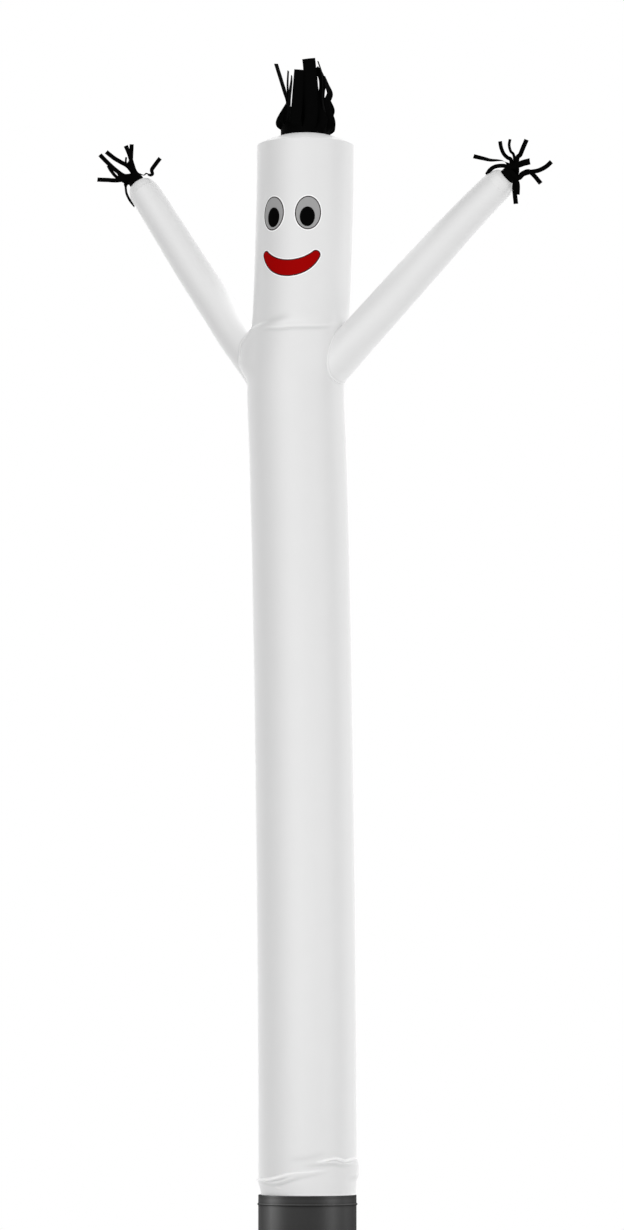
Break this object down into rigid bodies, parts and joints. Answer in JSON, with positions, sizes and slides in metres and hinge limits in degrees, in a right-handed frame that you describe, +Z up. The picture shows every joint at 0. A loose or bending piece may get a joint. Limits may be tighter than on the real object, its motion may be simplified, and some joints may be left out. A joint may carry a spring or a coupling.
{
  "type": "inflatable air dancer",
  "caption": "Tall inflated white cloth tube with a smiling face, raised tapering arms, black fringe for hair and hands, and a dark round sleeve that slips over a blower.",
  "frame": {"origin": "on the resting surface, under the middle of the part's bounding box; the sleeve's own axis stands 66 mm to -X of it", "axes": "+Z up along the tube, the face looks along -Y, the arms spread along X (the arm called left is on -X)"},
  "size_m": [2.3552, 0.4712, 5.6755],
  "materials": {
    "white_nylon": "coated nylon taffeta, smooth, slight sheen",
    "black_fringe": "black nylon strips, cut edges",
    "sleeve_cloth": "heavy dark coated cloth, satin",
    "piping_cloth": "dark cloth sewn round a cord, satin",
    "eye_cloth": "grey woven patch, sewn edge",
    "pupil_cloth": "black woven patch, sewn edge",
    "mouth_cloth": "deep red woven patch, sewn edge"
  },
  "bodies": {
    "root": {"body_lower": "white_nylon", "body_upper": "white_nylon", "body_chest": "white_nylon", "body_head": "white_nylon", "head_top": "white_nylon", "arm_left_lower": "white_nylon", "arm_left_upper": "white_nylon", "arm_left_end": "white_nylon", "arm_right_lower": "white_nylon", "arm_right_upper": "white_nylon", "arm_right_fore": "white_nylon", "arm_right_end": "white_nylon", "hair": "black_fringe", "fringe_left": "black_fringe", "fringe_right": "black_fringe", "base_sleeve": "sleeve_cloth", "sleeve_piping": "piping_cloth", "eye_left": "eye_cloth", "eye_right": "eye_cloth", "pupil_left": "pupil_cloth", "pupil_right": "pupil_cloth", "mouth": "mouth_cloth"}
  },
  "joints": []
}
